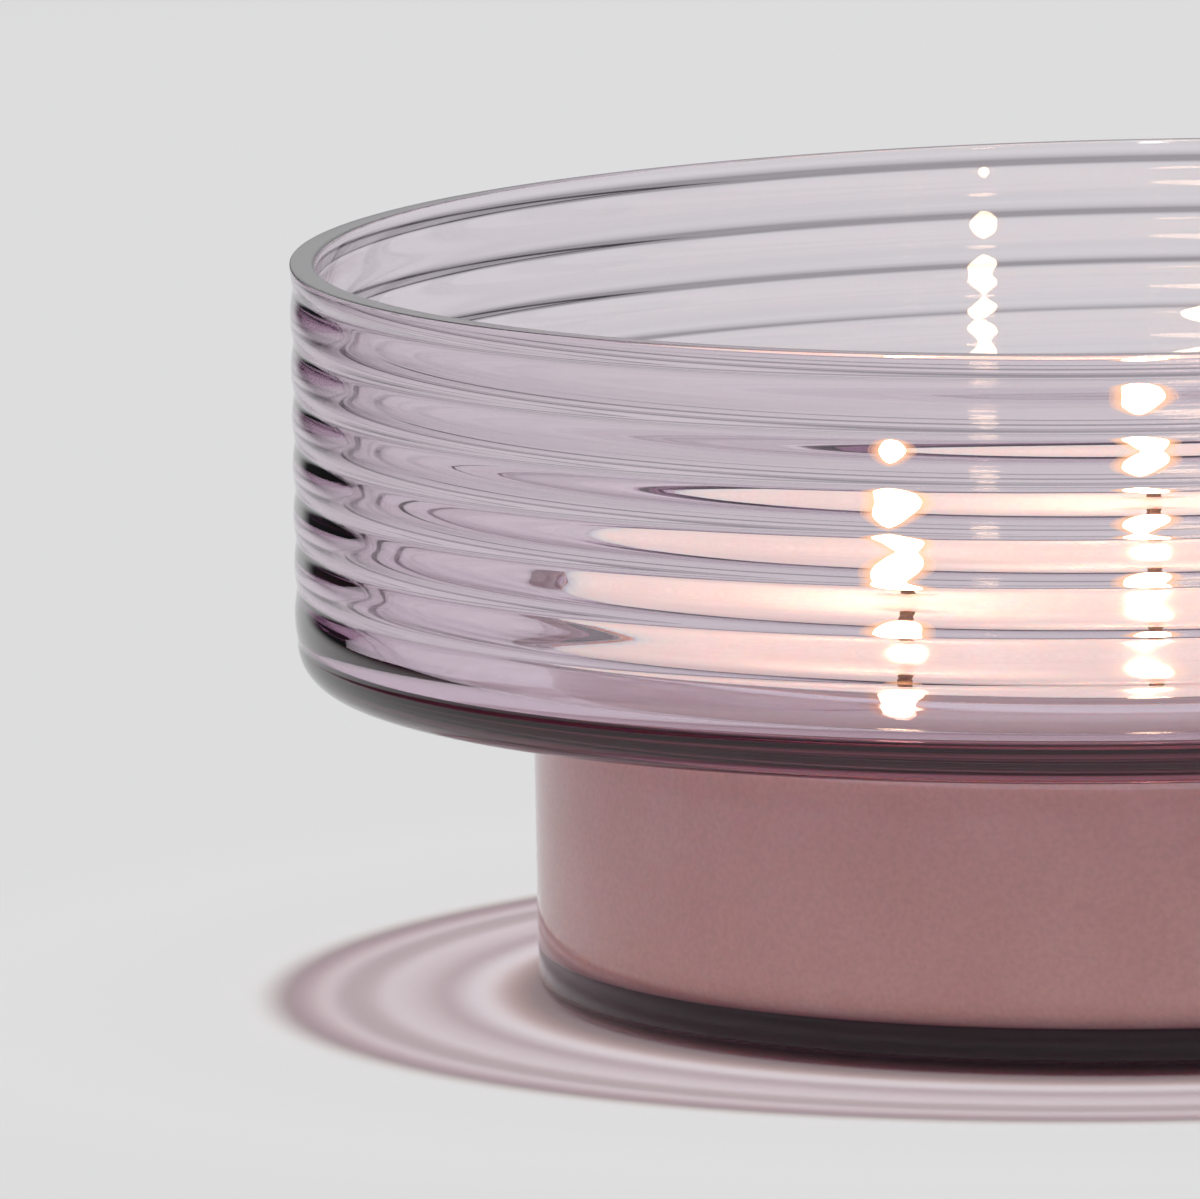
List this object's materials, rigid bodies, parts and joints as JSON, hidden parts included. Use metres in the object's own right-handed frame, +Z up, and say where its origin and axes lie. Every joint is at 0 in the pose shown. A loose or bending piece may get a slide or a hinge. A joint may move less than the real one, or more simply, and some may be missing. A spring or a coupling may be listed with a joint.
{
  "type": "container candle",
  "caption": "Poured candle in a stepped tinted-glass vessel: a wide ribbed bowl over a narrower smooth base filled with wax, with upright wicks standing in the bowl.",
  "frame": {"origin": "on the plane that the vessel stands on, at the vessel's axis", "axes": "+Z up along the vessel's axis, +Y from the picture's near side to its far side, +X to the picture's right"},
  "size_m": [0.2004, 0.2004, 0.0852],
  "materials": {
    "tinted_glass": "clear polished glass, tinted mauve through its thickness, ground flat on the rim",
    "wax": "satin candle wax, glossy where it is molten",
    "cotton_wick": "braided cotton, burnt brown at the tip",
    "tinplate": "pressed tin-plated sheet",
    "adhesive_foam": "white foam with adhesive faces"
  },
  "bodies": {
    "root": {"glass_vessel": "tinted_glass", "wax_fill": "wax", "wick_back": "cotton_wick", "wick_front_left": "cotton_wick", "wick_front_right": "cotton_wick", "wick_sustainer_back": "tinplate", "wick_sustainer_front_left": "tinplate", "wick_sustainer_front_right": "tinplate", "adhesive_pad_back": "adhesive_foam", "adhesive_pad_front_left": "adhesive_foam", "adhesive_pad_front_right": "adhesive_foam"}
  },
  "joints": []
}
